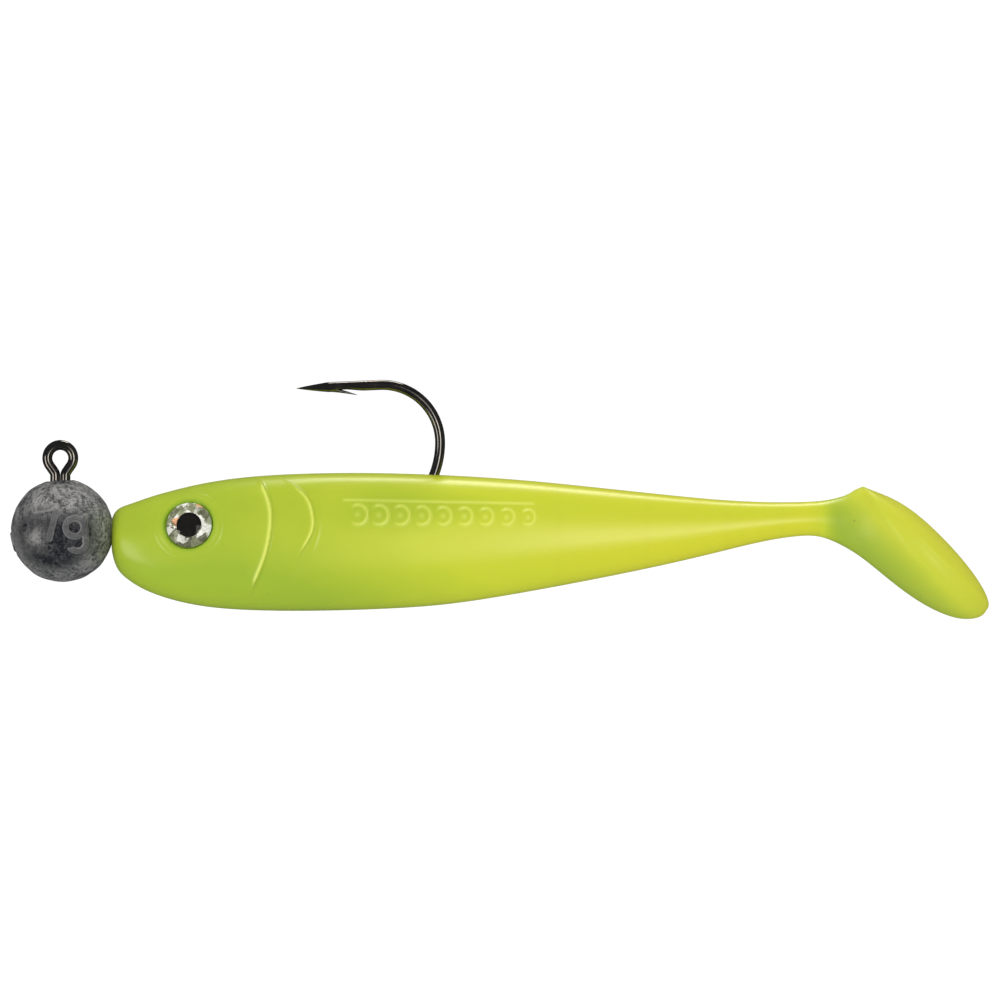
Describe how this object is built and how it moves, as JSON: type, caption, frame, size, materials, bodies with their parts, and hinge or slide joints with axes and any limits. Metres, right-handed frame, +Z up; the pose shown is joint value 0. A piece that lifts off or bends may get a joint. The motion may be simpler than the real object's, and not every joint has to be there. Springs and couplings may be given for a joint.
{
  "type": "rigged swimbait",
  "caption": "Soft paddle-tail swimbait on a barbed hook cast into a round lead jig head, with domed foil eyes and a tail that flexes, twists and kicks.",
  "frame": {"origin": "middle of the line eye, the loop of hook wire on top of the lead head", "axes": "+X from the lead head to the tail, +Y across the lure, +Z up, towards the hook's point"},
  "size_m": [0.1013, 0.0114, 0.0246],
  "materials": {
    "lead": "bare cast lead, matte grey with a dull oxide",
    "hook_wire": "polished black nickel on round wire",
    "soft_plastic": "soft translucent plastisol, yellow-green, with a wet shine",
    "eye_foil": "crinkled silver film",
    "eye_pupil": "black print",
    "eye_lens": "clear cast resin dome"
  },
  "bodies": {
    "jig": {"lead_head": "lead", "jig_hook": "hook_wire", "bait_head": "soft_plastic", "left_eye_foil": "eye_foil", "left_eye_pupil": "eye_pupil", "left_eye_lens": "eye_lens", "right_eye_foil": "eye_foil", "right_eye_pupil": "eye_pupil", "right_eye_lens": "eye_lens"},
    "trunk": {"bait_trunk": "soft_plastic"},
    "waist": {"bait_waist": "soft_plastic"},
    "wrist": {"bait_wrist": "soft_plastic"},
    "stem_front": {"tail_stem_front": "soft_plastic"},
    "stem_rear": {"tail_stem_rear": "soft_plastic"},
    "paddle": {"tail_paddle": "soft_plastic"}
  },
  "joints": [
    {"name": "trunk_sway", "type": "hinge", "parent": "jig", "child": "trunk", "pos_m": [0.047, 0, -0.0082], "axis": [0, 0, 1], "range_deg": [-18, 18], "stiffness_Nm_per_rad": 0.01},
    {"name": "trunk_flex", "type": "hinge", "parent": "trunk", "child": "waist", "pos_m": [0.0565, 0, -0.0078], "axis": [0, 1, 0], "range_deg": [-12, 12], "stiffness_Nm_per_rad": 0.008},
    {"name": "wrist_sway", "type": "hinge", "parent": "waist", "child": "wrist", "pos_m": [0.0655, 0, -0.0072], "axis": [0, 0, 1], "range_deg": [-22, 22], "stiffness_Nm_per_rad": 0.003},
    {"name": "stem_flex", "type": "hinge", "parent": "wrist", "child": "stem_front", "pos_m": [0.073, 0, -0.00665], "axis": [0, 1, 0], "range_deg": [-18, 18], "stiffness_Nm_per_rad": 0.002},
    {"name": "stem_twist", "type": "hinge", "parent": "stem_front", "child": "stem_rear", "pos_m": [0.077, 0, -0.00635], "axis": [1, 0, 0], "range_deg": [-25, 25], "stiffness_Nm_per_rad": 0.0006},
    {"name": "paddle_swing", "type": "hinge", "parent": "stem_rear", "child": "paddle", "pos_m": [0.0805, 0, -0.0066], "axis": [0, 0, 1], "range_deg": [-50, 50], "stiffness_Nm_per_rad": 0.0006}
  ]
}
